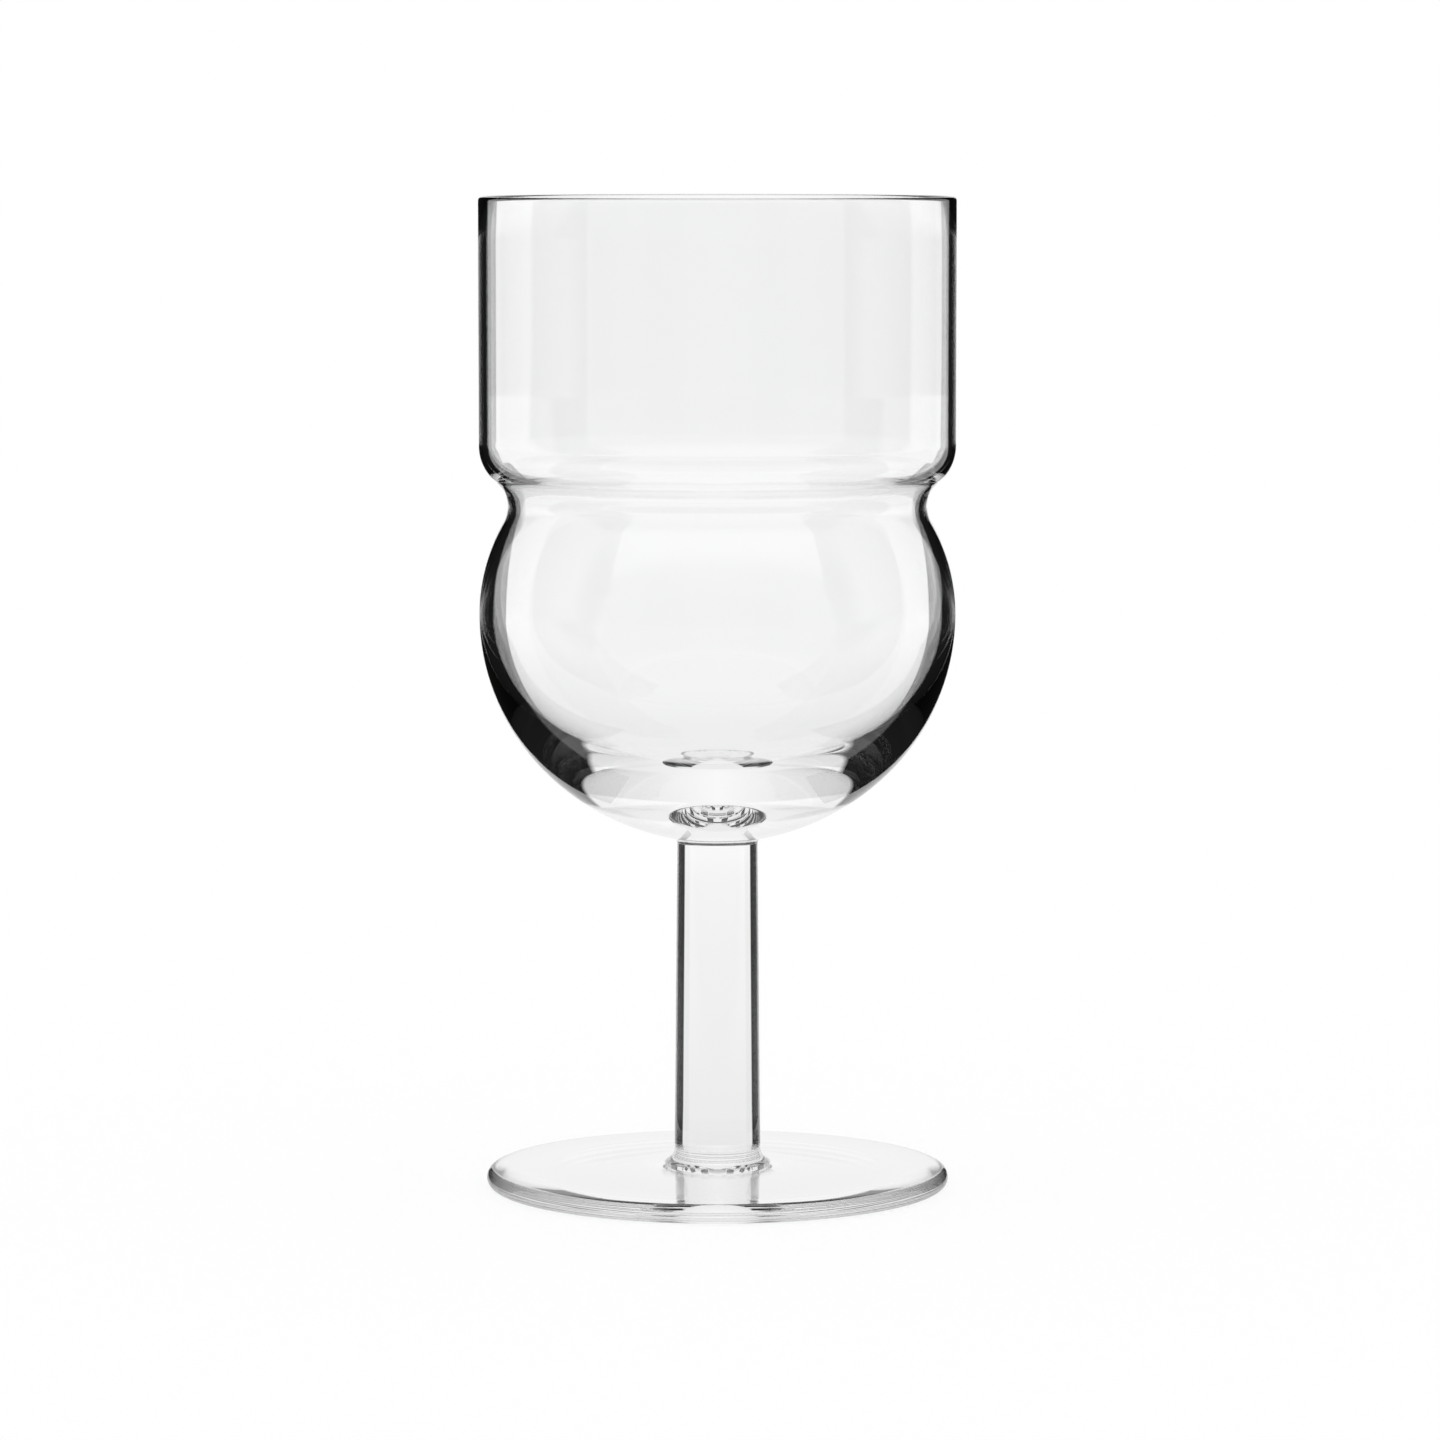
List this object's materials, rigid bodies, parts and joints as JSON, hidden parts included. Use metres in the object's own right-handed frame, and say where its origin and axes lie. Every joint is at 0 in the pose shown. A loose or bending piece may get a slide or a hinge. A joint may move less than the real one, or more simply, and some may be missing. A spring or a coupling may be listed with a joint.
{
  "type": "goblet",
  "caption": "Clear glass goblet: a straight upper bowl pinched at a waist over a round belly with a thick base, on a thick stem and a flat round foot.",
  "frame": {"origin": "centre of the foot's underside, in the plane that the goblet stands on", "axes": "+Z is the axis of revolution, from the foot up to the rim"},
  "size_m": [0.075, 0.075, 0.1565],
  "materials": {
    "glass": "clear, colourless, fire-polished"
  },
  "bodies": {
    "root": {"goblet": "glass"}
  },
  "joints": []
}
